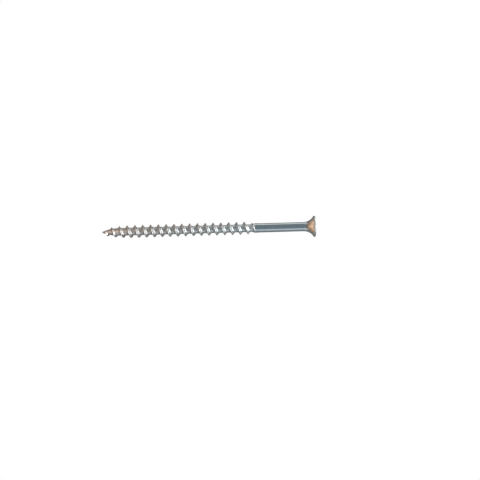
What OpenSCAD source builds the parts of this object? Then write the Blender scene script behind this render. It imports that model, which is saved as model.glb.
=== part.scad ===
// Countersunk wood screw with a bugle head, a cross recess, a plain shank,
// a coarse right-hand thread and a self-piercing point.
// The screw lies along X: the flat of the head is at x = 0, facing +X,
// and the tip is at x = -length. All sizes are in millimetres.

/* [Lengths] */
// Overall length, from the flat of the head to the tip
length = 100; // [70:1:160]
// Length from the flat of the head to the end of the plain shank
grip_l = 28.8; // [16:0.2:40]
// Length of the tapered point
point_l = 8; // [6:0.5:12]
// Diameter of the blunt end of the tip
tip_d = 0.26; // [0.1:0.02:0.4]

/* [Head] */
// Diameter across the rim of the head
head_d = 9.9; // [9:0.1:10.8]
// Height of the head, from its flat to where the flare meets the shank
head_h = 5.6; // [5:0.1:8]
// Height of the straight land around the rim
rim_h = 0.8; // [0.5:0.1:1]

/* [Cross recess] */
// Width across the wings at the mouth
recess_d = 6; // [5.6:0.1:6.4]
// Thickness of each wing
wing_w = 1.5; // [1.2:0.1:1.8]
// Width across the wings where their slanted ends stop
wing_root_d = 3.8; // [3.4:0.1:4]
// Diameter of the round core between the wings, at the mouth
recess_core_d = 3.3; // [2.6:0.1:3.6]

/* [Shank] */
// Diameter of the plain shank
shank_d = 4.3; // [4:0.1:4.6]
// Length of the cone that steps from the shank down to the core
shoulder_l = 0.6; // [0.4:0.1:1.2]

/* [Thread] */
// Diameter over the thread
thread_d = 6; // [5.4:0.1:6.6]
// Diameter of the core under the thread
core_d = 3.6; // [3.2:0.1:3.8]
// Distance along the axis from one turn to the next
pitch = 3.66; // [3.2:0.02:4.4]
// Width of the ridge where it stands on the core
ridge_base_w = 1.9; // [1.4:0.1:2.2]
// Width of the narrow flat along the crest of the ridge
ridge_crest_w = 0.24; // [0.1:0.02:0.4]
// Length over which the ridge grows from the tip to full height
run_in_l = 16; // [12:1:30]
// Length over which the ridge fades out below the shank
run_out_l = 1.6; // [1.2:0.1:4]
// Distance from the flat of the head to a crest on the +Z side
crest_station = 33.3; // [31:0.1:36]

/* [Hidden] */
$fn = 96;

steel = "#b4bcc4";
bright_steel = "#c9d0d6";

head_r = head_d / 2;
shank_r = shank_d / 2;
core_r = core_d / 2;
thread_r = thread_d / 2;
tip_r = tip_d / 2;

// Small roundings on the head's rim
top_edge_r = 0.55;
under_edge_r = 0.12;

// The flare is one arc that leaves the shank along a tangent
flare_l = head_h - rim_h;
flare_rise = head_r - shank_r;
flare_r = (flare_l * flare_l + flare_rise * flare_rise) / (2 * flare_rise);
flare_end = asin(flare_l / flare_r);

// The wings' ends slant by the usual angle of a cross recess
wing_slant = 26.5;
wing_depth = (recess_d - wing_root_d) / 2 / tan(wing_slant);
recess_tip_depth = wing_depth + 1;
cut_over = 0.4;

thread_top = grip_l + shoulder_l;
ridge_h = thread_r - core_r;

// The ridge starts just behind the tip and ends against the shank's shoulder
first_s = 0.9;
start_l = 1.5;
last_s = length - thread_top - ridge_crest_w;

// It is swept in short straight steps
steps_per_turn = 48;
steps = ceil((last_s - first_s) / pitch * steps_per_turn);
least_ridge_h = 0.04;

// Radius of the core at a distance s from the tip: a blunt ogive, then a cylinder
function core_at(s) = tip_r + (core_r - tip_r) * (1 - pow(1 - min(1, max(0, s) / point_l), 2));

// Radius of the full crest: it grows along the run-in from the tip
function full_crest_at(s) = thread_r * pow(sin(90 * min(1, s / run_in_l)), 1 / 3);

// How much of the ridge's height stands at s, from 0 to 1 with soft ends
function fade(t) = let (u = min(1, max(0, t))) u * u * (3 - 2 * u);
function grown(s) = fade((s - first_s) / start_l) * fade((last_s - s) / run_out_l);
function crest_at(s) = core_at(s)
    + max(least_ridge_h, (full_crest_at(s) - core_at(s)) * grown(s));

// The ridge narrows as it gets lower, so its flanks keep their angle
function base_w_at(s) = ridge_crest_w
    + (ridge_base_w - ridge_crest_w) * min(1, (crest_at(s) - core_at(s)) / ridge_h);

// Angle of the ridge about the axis, with a crest on the +Z side at crest_station
function ridge_angle(s) = 180 + 360 * (s - (length - crest_station)) / pitch;

// A point at distance s from the tip, measured here along +Z from z = -length
function on_axis(s, r, angle) = [r * cos(angle), r * sin(angle), s - length];

// The four corners of the ridge's section at one step
function ridge_section(s) = let (
        a = ridge_angle(s),
        low = s - base_w_at(s) / 2,
        high = s + base_w_at(s) / 2,
        c = crest_at(s)
    ) [
        on_axis(low, core_at(low), a),
        on_axis(s - ridge_crest_w / 2, c, a),
        on_axis(s + ridge_crest_w / 2, c, a),
        on_axis(high, core_at(high), a)
    ];

// Everything is turned about the Z axis and then laid along X
module along_x() {
    rotate([0, 90, 0]) children();
}

// Outline of half the head: its flat, its rim and the flare's arc
module head_outline() {
    polygon(concat(
        [[0, 0]],
        [for (a = [90:-22.5:0])
            [head_r - top_edge_r + top_edge_r * cos(a), -top_edge_r + top_edge_r * sin(a)]],
        [for (a = [0:-20:-60])
            [head_r - under_edge_r + under_edge_r * cos(a),
             -rim_h + under_edge_r + under_edge_r * sin(a)]],
        [for (k = [0.96:-0.08:0])
            [shank_r + flare_r * (1 - cos(k * flare_end)), -head_h + flare_r * sin(k * flare_end)]],
        [[shank_r, -head_h], [0, -head_h]]
    ));
}

// The driver's cross recess: two flat wings and a tapered round core
module cross_recess() {
    over_r = recess_d / 2 + cut_over * tan(wing_slant);
    for (turn = [0, 90]) {
        rotate([90, 0, turn])
            linear_extrude(wing_w, center = true)
                polygon([
                    [-over_r, cut_over],
                    [-wing_root_d / 2, -wing_depth],
                    [0, -recess_tip_depth],
                    [wing_root_d / 2, -wing_depth],
                    [over_r, cut_over]
                ]);
    }
    translate([0, 0, -wing_depth])
        cylinder(h = wing_depth + cut_over, d1 = wing_w * 1.15, d2 = recess_core_d);
}

// The bugle head that the driver turns and that seats in the wood
module head() {
    color(bright_steel)
        along_x()
            difference() {
                rotate_extrude() head_outline();
                cross_recess();
            }
}

// The plain shank, with the cone that steps down to the core
module shank() {
    color(steel)
        along_x() {
            rotate_extrude()
                polygon([
                    [0, -head_h],
                    [shank_r, -head_h],
                    [shank_r, -grip_l],
                    [core_r, -thread_top],
                    [0, -thread_top]
                ]);
        }
}

// The straight core that carries the thread
module core() {
    color(steel)
        along_x()
            translate([0, 0, point_l - length])
                cylinder(h = length - point_l - thread_top, r = core_r);
}

// The pointed end of the core, an ogive
module point() {
    slices = 14;
    color(steel)
        along_x()
            rotate_extrude()
                polygon(concat(
                    [[0, point_l - length], [0, -length]],
                    [for (i = [0:slices])
                        let (s = point_l * i / slices) [core_at(s), s - length]]
                ));
}

// The helical ridge, wound on the core and on the point
module thread() {
    points = [for (i = [0:steps]) each ridge_section(first_s + (last_s - first_s) * i / steps)];
    sides = [for (i = [0:steps - 1], k = [0:3])
        let (a = 4 * i + k, b = 4 * i + (k + 1) % 4) each [
            [a, b + 4, a + 4],
            [a, b, b + 4]
        ]];
    last = 4 * steps;
    ends = [[3, 2, 1, 0], [last, last + 1, last + 2, last + 3]];
    color(bright_steel)
        along_x()
            polyhedron(points = points, faces = concat(sides, ends), convexity = 10);
}

head();
shank();
core();
thread();
point();
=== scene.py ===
"""Looks of the countersunk wood screw: detailed meshes, zinc-plated steel, camera and studio."""
import math

import bpy
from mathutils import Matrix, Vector


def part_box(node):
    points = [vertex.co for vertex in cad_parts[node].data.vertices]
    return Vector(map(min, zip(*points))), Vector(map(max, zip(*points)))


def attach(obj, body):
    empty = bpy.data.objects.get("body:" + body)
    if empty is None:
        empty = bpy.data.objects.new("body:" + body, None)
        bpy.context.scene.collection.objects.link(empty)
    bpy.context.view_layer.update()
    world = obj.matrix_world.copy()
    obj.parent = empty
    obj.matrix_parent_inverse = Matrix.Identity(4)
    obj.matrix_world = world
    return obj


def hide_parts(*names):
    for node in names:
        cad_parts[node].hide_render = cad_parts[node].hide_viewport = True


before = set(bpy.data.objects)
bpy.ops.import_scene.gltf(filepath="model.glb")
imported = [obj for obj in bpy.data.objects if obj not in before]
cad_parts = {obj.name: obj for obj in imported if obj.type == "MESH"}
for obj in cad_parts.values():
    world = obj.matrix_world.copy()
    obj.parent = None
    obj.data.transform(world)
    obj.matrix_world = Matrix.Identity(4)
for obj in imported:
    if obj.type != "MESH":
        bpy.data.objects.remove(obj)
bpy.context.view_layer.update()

MM = 0.001
TURN = 2 * math.pi

# ---------------------------------------------------------------- sizes from the frame


def node_span(node):
    """A node's two ends along X, and its largest radius about X."""
    low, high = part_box(node)
    return low[0], high[0], max(-low[1], high[1], -low[2], high[2])


HEAD_X, FACE_X, HEAD_R = node_span("head")
THREAD_TOP_X, _, SHANK_R = node_span("shank")
POINT_X, _, CORE_R = node_span("core")
TIP_X = node_span("point")[0]
THREAD_R = node_span("thread")[2]
LENGTH = FACE_X - TIP_X
POINT_L = POINT_X - TIP_X
THREAD_TOP_S = THREAD_TOP_X - TIP_X

# The rest of the CAD model's driving sizes
RIM_H = 0.8 * MM
RIM_TOP_R = 0.55 * MM
RIM_UNDER_R = 0.12 * MM
RECESS_R = 3 * MM
RECESS_ROOT_R = 1.9 * MM
WING_HALF_W = 0.75 * MM
WING_SLANT = math.radians(26.5)
RECESS_TIP_H = 1 * MM
SHOULDER_L = 0.6 * MM
PITCH = 3.66 * MM
CREST_STATION = 33.3 * MM
RUN_IN_L = 16 * MM
TIP_R = 0.13 * MM

# How finely round shapes are cut. A circle has as many points as a ring of the recess has: four times
# a wing's end, its two corners, its two sides and the inner corner beside it.
WING_END_N = 12
CORNER_N = 8
SIDE_N = 8
INNER_N = 8
SEGMENTS = 4 * (WING_END_N + 2 * CORNER_N + 2 * SIDE_N + INNER_N)
STEPS_PER_TURN = 96

# The recess's roundings, and how far each side of a wing leans in per unit of depth
LIP_R = 0.12 * MM
WING_END_R = 0.12 * MM
MOUTH_INNER_R = 0.9 * MM
DEEP_INNER_R = 0.35 * MM
WING_DRAFT = 0.07

# The swell that thread rolling leaves on the shank, and the rounding of the tip
SWELL_H = 0.06 * MM
SWELL_L = 0.9 * MM
NOSE_L = 0.12 * MM

# The section of the ridge. RIDGE_SINK is how deep its foot stands in the core, and LEAST_RIDGE_W is the
# share of its full width that is left where the ridge is lowest.
CREST_FLAT = 0.06 * MM
CREST_R = 0.14 * MM
ROOT_FILLET_R = 0.5 * MM
FLANK_SLOPE = math.radians(56.5)
RIDGE_SINK = 0.25 * MM
LEAST_RIDGE_H = 0.02 * MM
LEAST_RIDGE_W = 0.13

# Where the ridge starts and ends, from the tip, and the lengths over which it does so. Its crest comes
# down to RUN_OUT_RISE over the shank before it ends.
START_S = 0.9 * MM
START_L = 1.5 * MM
RUN_OUT_S = THREAD_TOP_S + 0.85 * MM
RUN_OUT_L = 3.75 * MM
RUN_OUT_RISE = 0.06 * MM
END_S = THREAD_TOP_S + 1.8 * MM
END_L = 0.8 * MM

# The plating: its clouds of tint, its fine grain, its forming marks, how much smoother it is where it
# is worn, and the length at the tip over which a painted reflection of timber tints it warmer and darker
CLOUDS_PER_M = 420
GRAINS_PER_M = 5200
GRAIN_RELIEF = 0.2
GRAIN_DEPTH = 0.01 * MM
MARK_DEPTH = 0.03 * MM
WEAR_POLISH = 0.08
PAINTED_REFLECTION_L = 60 * MM

# ---------------------------------------------------------------- mesh helpers


def add_object(name, data):
    """A new object in the scene."""
    thing = bpy.data.objects.new(name, data)
    bpy.context.scene.collection.objects.link(thing)
    return thing


def skin(name, rings, sharp_deg=38):
    """A closed piece through rings of points that all have the same count."""
    count = len(rings[0])
    verts = [p for ring in rings for p in ring]
    faces = []
    for i in range(len(rings) - 1):
        for k in range(count):
            a, n = i * count + k, i * count + (k + 1) % count
            faces.append((a, n, n + count, a + count))
    for first, ring in ((0, rings[0]), ((len(rings) - 1) * count, rings[-1])):
        pole = len(verts)
        verts.append(tuple(sum(c) / count for c in zip(*ring)))
        for k in range(count):
            tri = (first + (k + 1) % count, first + k, pole)
            faces.append(tri if first == 0 else tri[::-1])
    mesh = bpy.data.meshes.new(name)
    mesh.from_pydata(verts, [], faces)
    mesh.shade_smooth()
    mesh.set_sharp_from_angle(angle=math.radians(sharp_deg))
    return add_object(name, mesh)


def set_wear(piece, values):
    """How worn each point is, from 0 to 1. The two poles that close the skin count as unworn."""
    wear = piece.data.attributes.new("wear", "FLOAT", "POINT")
    wear.data.foreach_set("value", values + [0.0, 0.0])


def circle(x, r):
    """A ring about the X axis. It starts at the +Y side and turns towards +Z."""
    angles = [TURN * k / SEGMENTS for k in range(SEGMENTS)]
    return [(x, r * math.cos(a), r * math.sin(a)) for a in angles]


def arc(centre_x, centre_r, radius, start, end, steps):
    """Points (x, radius) along an arc, its angles in degrees from the +X direction."""
    angles = [math.radians(start + (end - start) * i / steps) for i in range(steps + 1)]
    return [(centre_x + radius * math.cos(a), centre_r + radius * math.sin(a)) for a in angles]


def smooth(t):
    """From 0 to 1 with soft ends."""
    t = min(1, max(0, t))
    return t * t * (3 - 2 * t)


# ---------------------------------------------------------------- head


def wing_ring(half_l, half_w, corner_r, inner_r):
    """A quarter of a cross-shaped ring: a wing with a rounded end, then a rounded inner corner."""
    wing = []
    for i in range(WING_END_N):
        wing.append((half_l, (half_w - corner_r) * (2 * i / WING_END_N - 1)))
    for i in range(CORNER_N):
        a = TURN / 4 * i / CORNER_N
        wing.append((half_l - corner_r * (1 - math.cos(a)), half_w - corner_r * (1 - math.sin(a))))
    root = half_w + inner_r
    for i in range(SIDE_N):
        wing.append((half_l - corner_r + (root - half_l + corner_r) * i / SIDE_N, half_w))
    for i in range(INNER_N):
        a = TURN * (3 / 4 - i / INNER_N / 4)
        wing.append((root + inner_r * math.cos(a), root + inner_r * math.sin(a)))
    for i in range(SIDE_N):
        wing.append((half_w, root + (half_l - corner_r - root) * i / SIDE_N))
    for i in range(CORNER_N):
        a = TURN / 4 * i / CORNER_N
        wing.append((half_w - corner_r * (1 - math.cos(a)), half_l - corner_r * (1 - math.sin(a))))
    return wing


def recess_rings():
    """The cross recess, from its rounded lip down to the point at its bottom."""
    wing_depth = (RECESS_R - RECESS_ROOT_R) / math.tan(WING_SLANT)
    lip_n, wing_n, bottom_n = 6, 12, 10
    bottom_bulge = 1.4

    def at(depth, lip):
        t = depth / wing_depth
        inner_r = MOUTH_INNER_R + (DEEP_INNER_R - MOUTH_INNER_R) * t
        return wing_ring(
            RECESS_R - depth * math.tan(WING_SLANT) + lip,
            WING_HALF_W - depth * WING_DRAFT + lip,
            WING_END_R + lip, inner_r - lip)

    rings = []
    for i in range(lip_n):
        a = TURN / 4 * i / lip_n
        depth = LIP_R * (1 - math.cos(a))
        rings.append((depth, at(depth, LIP_R * (1 - math.sin(a)))))
    for i in range(wing_n):
        depth = LIP_R + (wing_depth - LIP_R) * i / wing_n
        rings.append((depth, at(depth, 0)))
    for i in range(bottom_n):
        f = 1 - i / bottom_n
        bottom = [(y * f, z * f) for y, z in at(wing_depth, 0)]
        rings.append((wing_depth + RECESS_TIP_H * (1 - f ** bottom_bulge), bottom))
    return rings


def cross_ring(x, quarter):
    """A full ring about X from one quarter of a cross, starting at the middle of the +Y wing's end."""
    ring = list(quarter)
    for _ in range(3):
        quarter = [(-z, y) for y, z in quarter]
        ring += quarter
    middle = WING_END_N // 2
    return [(x, y, z) for y, z in ring[middle:] + ring[:middle]]


def make_head():
    """The bugle head: flare, rim, flat and cross recess in one closed skin."""
    flare_l = FACE_X - RIM_H - HEAD_X
    rise = HEAD_R - SHANK_R
    flare_r = (flare_l ** 2 + rise ** 2) / (2 * rise)
    drop = SHANK_R + flare_r - HEAD_R + RIM_UNDER_R
    under_x = HEAD_X + math.sqrt((flare_r + RIM_UNDER_R) ** 2 - drop ** 2)
    meet = math.degrees(math.atan2(drop, under_x - HEAD_X))
    outline = arc(HEAD_X, SHANK_R + flare_r, flare_r, -90, -meet, 36)
    outline += arc(under_x, HEAD_R - RIM_UNDER_R, RIM_UNDER_R, 180 - meet, 90, 8)
    outline += arc(FACE_X - RIM_TOP_R, HEAD_R - RIM_TOP_R, RIM_TOP_R, 90, 0, 8)
    rings = [circle(x, r) for x, r in outline]
    rings += [cross_ring(FACE_X - depth, quarter) for depth, quarter in recess_rings()]
    return skin("screw_head", rings)


# ---------------------------------------------------------------- shank, core and point


def core_at(s):
    """Radius of the core at a distance s from the tip: a blunt ogive, then a cylinder."""
    return TIP_R + (CORE_R - TIP_R) * (1 - (1 - min(1, max(0, s) / POINT_L)) ** 2)


def body_at(s):
    """Radius of the body under the ridge at s: the core, then the shoulder, then the shank."""
    return core_at(s) + (SHANK_R - CORE_R) * smooth((s - THREAD_TOP_S) / SHOULDER_L)


def make_shank():
    """The drawn shank, with the small swell and the shoulder that thread rolling leaves."""
    shoulder_n, plain_n = 16, 60
    crowding = 1.6  # above 1, so that the rings crowd together at the shoulder
    shoulder_s = [THREAD_TOP_S + SHOULDER_L * i / shoulder_n for i in range(shoulder_n + 1)]
    outline = [(TIP_X + s, body_at(s)) for s in shoulder_s]
    plain_x = THREAD_TOP_X + SHOULDER_L
    for i in range(1, plain_n + 1):
        x = plain_x + (HEAD_X - plain_x) * (i / plain_n) ** crowding
        bulge = SWELL_H * math.exp(-((x - plain_x - SWELL_L) / SWELL_L) ** 2)
        fade = smooth((x - plain_x) / SWELL_L)
        outline.append((x, SHANK_R + bulge * fade))
    return skin("screw_shank", [circle(x, r) for x, r in outline])


def make_core():
    """The straight core between the turns of the thread."""
    steps = 40
    length = THREAD_TOP_X - POINT_X
    return skin("screw_core", [circle(POINT_X + length * i / steps, CORE_R) for i in range(steps + 1)])


def make_point():
    """The ogive point, with its very tip rounded off."""
    steps, least_s = 64, 0.002 * MM
    crowding = 1.5  # above 1, so that the rings crowd together at the tip
    outline = []
    for i in range(steps + 1):
        s = POINT_L * (i / steps) ** crowding
        nose = math.sqrt(1 - (1 - min(1, (s + least_s) / NOSE_L)) ** 2)
        outline.append((TIP_X + s, core_at(s + NOSE_L * (1 - s / POINT_L)) * nose))
    return skin("screw_point", [circle(x, r) for x, r in outline])


# ---------------------------------------------------------------- thread


def ridge_profile(height):
    """Half of the ridge's section as (offset from its crest, share of its height)."""
    sin_f, cos_f = math.sin(FLANK_SLOPE), math.cos(FLANK_SLOPE)
    straight = height - (CREST_R + ROOT_FILLET_R) * (1 - cos_f)
    crest_n, flank_n, fillet_n = 4, 4, 8
    half = []
    for i in range(crest_n + 1):
        a = FLANK_SLOPE * i / crest_n
        half.append((CREST_FLAT / 2 + CREST_R * math.sin(a), height - CREST_R * (1 - math.cos(a))))
    top_u, top_h = half[-1]
    foot_u = top_u + straight / math.tan(FLANK_SLOPE)
    for i in range(1, flank_n):
        t = i / flank_n
        half.append((top_u + (foot_u - top_u) * t, top_h - straight * t))
    for i in range(fillet_n + 1):
        a = FLANK_SLOPE * (1 - i / fillet_n)
        half.append((foot_u + ROOT_FILLET_R * (sin_f - math.sin(a)), ROOT_FILLET_R * (1 - math.cos(a))))
    return [(u, h / height) for u, h in half]


def crest_height(s):
    """Height of the ridge over the body: it grows from the tip and runs out on to the shank."""
    run_in = THREAD_R * math.sin(TURN / 4 * min(1, s / RUN_IN_L)) ** (1 / 3)
    least = SHANK_R + RUN_OUT_RISE
    run_out = least + (THREAD_R - least) * smooth((RUN_OUT_S - s) / RUN_OUT_L)
    grown = smooth((s - START_S) / START_L) * smooth((END_S - s) / END_L)
    return max(LEAST_RIDGE_H, (min(run_in, run_out) - body_at(s)) * grown)


def make_thread():
    """The right-hand ridge, swept along the helix with filleted roots and a rounded crest."""
    full_h = THREAD_R - CORE_R
    half = ridge_profile(full_h)
    outer = [(-u, k) for u, k in reversed(half)] + half
    steps = math.ceil((END_S - START_S) / PITCH * STEPS_PER_TURN)
    least_foot_r = 0.01 * MM
    rings = []
    for i in range(steps + 1):
        s = START_S + (END_S - START_S) * i / steps
        height = crest_height(s)
        width = LEAST_RIDGE_W + (1 - LEAST_RIDGE_W) * height / full_h
        a = TURN * (1 / 4 + (TIP_X + s + CREST_STATION) / PITCH)
        section = [(s + u * width, body_at(s + u * width) + height * k) for u, k in outer]
        ends = [section[-1], section[0]]
        section += [(p, max(least_foot_r, r - RIDGE_SINK)) for p, r in ends]
        rings.append([(TIP_X + p, r * math.cos(a), r * math.sin(a)) for p, r in section])
    piece = skin("screw_thread", rings, sharp_deg=50)
    worn_from, worn_over = 0.7, 0.25
    worn = [smooth((k - worn_from) / worn_over) for _, k in outer] + [0.0, 0.0]
    set_wear(piece, worn * len(rings))
    return piece


# ---------------------------------------------------------------- material


class Nodes:
    """A short way to add linked shader nodes."""

    def __init__(self, tree):
        self.tree = tree

    def add(self, kind, inputs=None, **settings):
        node = self.tree.nodes.new(kind)
        for key, value in settings.items():
            setattr(node, key, value)
        for key, value in (inputs or {}).items():
            if isinstance(value, bpy.types.NodeSocket):
                self.tree.links.new(value, node.inputs[key])
            else:
                node.inputs[key].default_value = value
        return node

    def noise(self, place, scale, detail, roughness):
        return self.add("ShaderNodeTexNoise", {"Vector": place, "Scale": scale, "Detail": detail,
                                               "Roughness": roughness}).outputs["Fac"]

    def ramp(self, factor, stops):
        node = self.add("ShaderNodeValToRGB", {"Fac": factor})
        elements = node.color_ramp.elements
        while len(elements) < len(stops):
            elements.new(0.5)
        for element, (place, colour) in zip(elements, stops):
            element.position = place
            element.color = (*colour, 1)
        return node.outputs["Color"]


def bare_material(name):
    """A new material without nodes, and the helper that adds them."""
    material = bpy.data.materials.new(name)
    material.use_nodes = True
    material.node_tree.nodes.clear()
    return material, Nodes(material.node_tree)


def zinc_steel(name, marks_per_m, roughest, smoothest, relief, warmth=0, tone=1):
    """Bright zinc plating on cold-formed steel. Its forming marks are counted along X, Y and Z."""
    material, n = bare_material(name)
    place = n.add("ShaderNodeTexCoord").outputs["Object"]

    clouds = n.noise(place, CLOUDS_PER_M, 3, 0.55)
    stretched = n.add("ShaderNodeVectorMath", {0: place, 1: marks_per_m}, operation="MULTIPLY")
    marks = n.noise(stretched.outputs[0], 1, 4, 0.6)
    grain = n.noise(place, GRAINS_PER_M, 2, 0.5)

    def plating(red, green, blue):
        return tone * (red + warmth), tone * green, tone * (blue - warmth)

    tint = n.ramp(clouds, [(0.3, plating(0.71, 0.735, 0.75)),
                           (0.5, plating(0.74, 0.76, 0.77)),
                           (0.7, plating(0.77, 0.78, 0.78))])
    shade = n.ramp(marks, [(0.3, (0.88, 0.885, 0.89)), (0.5, (0.97, 0.973, 0.975)), (0.62, (1, 1, 1))])
    along_x = n.add("ShaderNodeSeparateXYZ", {"Vector": place}).outputs["X"]
    from_tip = n.add("ShaderNodeMapRange", {"Value": along_x, "From Min": TIP_X,
                                            "From Max": TIP_X + PAINTED_REFLECTION_L}).outputs["Result"]
    # Painted reflection: the colour grows warmer and darker towards the tip, standing in for timber
    # mirrored beyond the tip
    painted_timber_reflection = n.ramp(from_tip, [(0, (0.9, 0.81, 0.765)), (1, (1, 1, 1))])
    colour = tint
    for layer in (shade, painted_timber_reflection):
        colour = n.add("ShaderNodeMix", {"Factor": 1, "A": colour, "B": layer},
                       data_type="RGBA", blend_type="MULTIPLY").outputs["Result"]
    rough = n.add("ShaderNodeMapRange", {"Value": marks, "From Min": 0.3, "From Max": 0.7,
                                         "To Min": roughest, "To Max": smoothest}).outputs["Result"]
    wear = n.add("ShaderNodeAttribute", attribute_name="wear").outputs["Fac"]
    rough = n.add("ShaderNodeMath", {0: wear, 1: -WEAR_POLISH, 2: rough},
                  operation="MULTIPLY_ADD").outputs[0]
    low = n.add("ShaderNodeBump", {"Height": marks, "Strength": relief, "Distance": MARK_DEPTH})
    fine = n.add("ShaderNodeBump", {"Height": grain, "Strength": GRAIN_RELIEF,
                                    "Distance": GRAIN_DEPTH, "Normal": low.outputs["Normal"]})
    shader = n.add("ShaderNodeBsdfPrincipled", {
        "Base Color": colour, "Metallic": 1, "Roughness": rough,
        "Normal": fine.outputs["Normal"]})
    n.add("ShaderNodeOutputMaterial", {"Surface": shader.outputs["BSDF"]})
    return material


# ---------------------------------------------------------------- pieces


def place_piece(piece, node, material):
    """The piece stands for its CAD node, rides on the one body and takes the plating's finish."""
    piece.data.materials.append(material)
    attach(piece, "root")
    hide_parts(node)


drawn = zinc_steel("zinc_drawn", (900, 160, 160), roughest=0.2, smoothest=0.14, relief=0.12)
rolled = zinc_steel("zinc_rolled", (520, 380, 380), roughest=0.42, smoothest=0.34, relief=0.05,
                    warmth=0.012, tone=0.95)
headed = zinc_steel("zinc_headed", (700, 420, 420), roughest=0.3, smoothest=0.2, relief=0.2)
head = make_head()
shank = make_shank()
core = make_core()
thread = make_thread()
point = make_point()
place_piece(head, "head", headed)
place_piece(shank, "shank", drawn)
place_piece(core, "core", rolled)
place_piece(thread, "thread", rolled)
place_piece(point, "point", rolled)

# ---------------------------------------------------------------- camera

LENS = 50
SENSOR = 36

# Width of the frame at the screw, the point in the middle of the frame, and the screw's lean in it
FRAME_W = 2.25 * LENGTH
AIM_X = FACE_X - 0.355 * LENGTH
AIM_Z = -0.0541 * LENGTH
ROLL = math.radians(1.62)


def make_camera():
    """The camera, level and square to the screw, at the photograph's viewing angle."""
    data = bpy.data.cameras.new("camera")
    data.lens = LENS
    data.sensor_width = SENSOR
    data.clip_start = 0.01
    data.clip_end = 20
    camera = add_object("camera", data)
    camera.location = (AIM_X, -FRAME_W * LENS / SENSOR, AIM_Z)
    camera.rotation_euler = (TURN / 4, ROLL, 0)
    bpy.context.scene.camera = camera


# ---------------------------------------------------------------- studio


def emission(name, colour, strength):
    """A plain glowing material for the stage."""
    material, n = bare_material(name)
    glow = n.add("ShaderNodeEmission", {"Color": (*colour, 1), "Strength": strength})
    n.add("ShaderNodeOutputMaterial", {"Surface": glow.outputs["Emission"]})
    return material


def stage_mesh(name, verts, faces, material):
    """A piece of the stage."""
    mesh = bpy.data.meshes.new(name)
    mesh.from_pydata(verts, [], faces)
    mesh.materials.append(material)
    piece = add_object(name, mesh)
    return piece


def make_cove():
    """The pale studio: a flat round floor that curves up into walls and a ceiling."""
    floor_z, radius, ceiling_z, curve_r = -0.9, 1.6, 1.9, 0.32
    flat_r = radius - curve_r
    curve_n, sides = 8, 64
    outline = [(0, floor_z), (flat_r, floor_z)]
    for i in range(1, curve_n + 1):
        a = TURN / 4 * i / curve_n
        outline.append((flat_r + curve_r * math.sin(a), floor_z + curve_r * (1 - math.cos(a))))
    outline += [(radius, ceiling_z), (0, ceiling_z)]
    verts = [(r * math.cos(TURN * k / sides), r * math.sin(TURN * k / sides), z)
             for r, z in outline for k in range(sides)]
    faces = [(i * sides + k, i * sides + (k + 1) % sides,
              (i + 1) * sides + (k + 1) % sides, (i + 1) * sides + k)
             for i in range(len(outline) - 1) for k in range(sides)]
    cove = stage_mesh("studio_cove", verts, faces, emission("studio_white", (1, 1, 1), 1))
    cove.visible_glossy = False
    cove.visible_diffuse = False
    cove.visible_shadow = False


def make_panel(name, place, aim, size, colour, radiance, receivers=()):
    """A soft light panel: its size is (level, upright). Only its receivers are lit, if it has any."""
    data = bpy.data.lights.new(name, "AREA")
    data.shape = "RECTANGLE"
    data.size, data.size_y = size
    data.color = colour
    data.energy = radiance * math.pi * size[0] * size[1]
    panel = add_object(name, data)
    panel.location = place
    panel.rotation_euler = (Vector(aim) - panel.location).to_track_quat("-Z", "Y").to_euler()
    panel.visible_camera = False
    if receivers:
        lit = bpy.data.collections.new(name + "_receivers")
        for piece in receivers:
            lit.objects.link(piece)
        panel.light_linking.receiver_collection = lit


def make_panels():
    """The key light, warm light as if off timber beyond the tip, and fill light for the shank."""
    make_panel("thread_key", place=(0.891, -0.449, 0.06), aim=(0, 0, 0), size=(0.75, 1.1),
               colour=(0.95, 1.0, 1.0), radiance=5.3, receivers=[shank, core, thread, point])

    timber_x, timber_y = TIP_X - 0.0106, -0.05
    timber_aim = (0, timber_y, 0)
    make_panel("timber_wide", place=(timber_x - 0.002, timber_y, 0), aim=timber_aim, size=(0.2, 0.28),
               colour=(1.0, 0.56, 0.3), radiance=0.22, receivers=[head])
    make_panel("timber_near", place=(timber_x, timber_y, 0), aim=timber_aim, size=(0.2, 0.13),
               colour=(1.0, 0.58, 0.31), radiance=0.42, receivers=[head])

    # The shank mirrors these two only when it is seen from the head's side
    for name, place, radiance in (("shank_left", (-0.75, -0.7, 0.2), 0.9),
                                  ("shank_above", (-0.75, -0.1, 0.75), 1.15)):
        make_panel(name, place=place, aim=(-0.02, 0, 0), size=(1.1, 0.5),
                   colour=(0.95, 0.98, 1.0), radiance=radiance, receivers=[shank])

    make_panel("tip_glow", place=(TIP_X - 0.01, -0.027, 0.002), aim=(TIP_X + 0.004, 0, 0),
               size=(0.032, 0.036), colour=(1.0, 0.8, 0.68), radiance=0.95)


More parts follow.
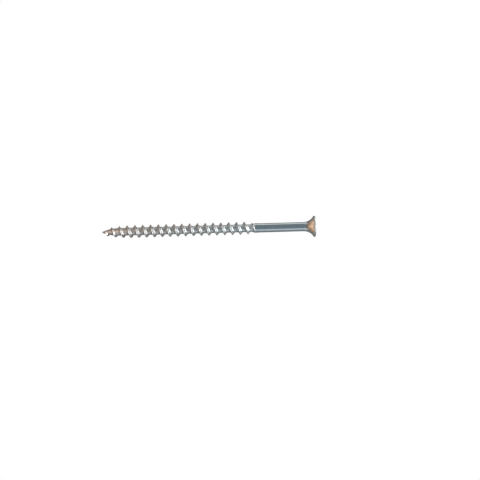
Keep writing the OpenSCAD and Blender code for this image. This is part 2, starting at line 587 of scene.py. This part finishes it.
# Soft lights around the screw, each an oblong patch of sky. The first three numbers are its span in
# degrees from the +X direction and its soft edge. The next three are its middle, half width and soft
# edge in degrees about X, from 0 at the camera's side through 90 above. The last is its radiance.
SOFT_LIGHTS = [
    ("key", 24, 62, 20, -12, 26, 50, (1.5, 1.6, 1.7)),
    ("right_wall", 0, 68, 10, 0, 85, 70, (1.0, 1.1, 1.15)),
    ("right_ceiling", 20, 70, 16, 92, 22, 30, (1.7, 1.6, 1.5)),
    ("top_strip", 72, 104, 12, 98, 18, 24, (0.82, 0.9, 0.92)),
    ("low_strip", 72, 112, 12, -64, 22, 34, (0.52, 0.6, 0.66)),
    ("floor_bounce", 60, 122, 12, -112, 20, 20, (0.2, 0.235, 0.25)),
    ("left_top", 98, 118, 12, 72, 20, 30, (0.36, 0.31, 0.26)),
    ("left_low", 98, 118, 12, -62, 20, 30, (0.26, 0.235, 0.21)),
    ("left_ceiling", 112, 165, 20, 108, 24, 36, (0.2, 0.165, 0.135)),
    ("left_wide", 118, 180, 16, 0, 180, 1, (0.17, 0.135, 0.105)),
    ("camera_side", 60, 112, 12, 8, 66, 24, (0.165, 0.21, 0.235)),
    ("rear_wall", 0, 180, 1, 180, 45, 30, (0.15, 0.15, 0.15)),
    ("rear_key", 30, 80, 20, 180, 12, 16, (3.0, 3.0, 3.0)),
]


def soft_span(n, value, half, soft):
    """1 within half of zero and 0 beyond it, with a soft edge between."""
    size = n.add("ShaderNodeMath", {0: value}, operation="ABSOLUTE").outputs[0]
    return n.add("ShaderNodeMapRange", {"Value": size, "From Min": half - soft / 2,
                                        "From Max": half + soft / 2, "To Min": 1, "To Max": 0},
                 interpolation_type="SMOOTHSTEP").outputs["Result"]


def make_world():
    """What the metal mirrors: a dim room with soft lights."""
    world = bpy.data.worlds.new("studio")
    bpy.context.scene.world = world
    world.use_nodes = True
    world.node_tree.nodes.clear()
    n = Nodes(world.node_tree)

    def math_node(operation, *values):
        return n.add("ShaderNodeMath", dict(enumerate(values)), operation=operation).outputs[0]

    direction = n.add("ShaderNodeTexCoord").outputs["Generated"]
    axes = n.add("ShaderNodeSeparateXYZ", {"Vector": direction})
    polar = math_node("DEGREES", math_node("ARCCOSINE", axes.outputs["X"]))
    front = math_node("MULTIPLY", axes.outputs["Y"], -1)
    about = math_node("DEGREES", math_node("ARCTAN2", axes.outputs["Z"], front))
    total = None
    for _, start, end, polar_soft, middle, half, soft, radiance in SOFT_LIGHTS:
        off_polar = math_node("SUBTRACT", polar, (start + end) / 2)
        off_about = math_node("WRAP", math_node("SUBTRACT", about, middle), 180, -180)
        share = math_node("MULTIPLY", soft_span(n, off_polar, (end - start) / 2, polar_soft),
                          soft_span(n, off_about, half, soft))
        light = n.add("ShaderNodeVectorMath", {0: radiance, "Scale": share}, operation="SCALE").outputs[0]
        if total is not None:
            light = n.add("ShaderNodeVectorMath", {0: total, 1: light}, operation="ADD").outputs[0]
        total = light
    sky = n.add("ShaderNodeBackground", {"Color": total, "Strength": 1})
    n.add("ShaderNodeOutputWorld", {"Surface": sky.outputs["Background"]})


make_camera()
make_cove()
make_panels()
make_world()
bpy.context.scene.view_settings.view_transform = "Standard"
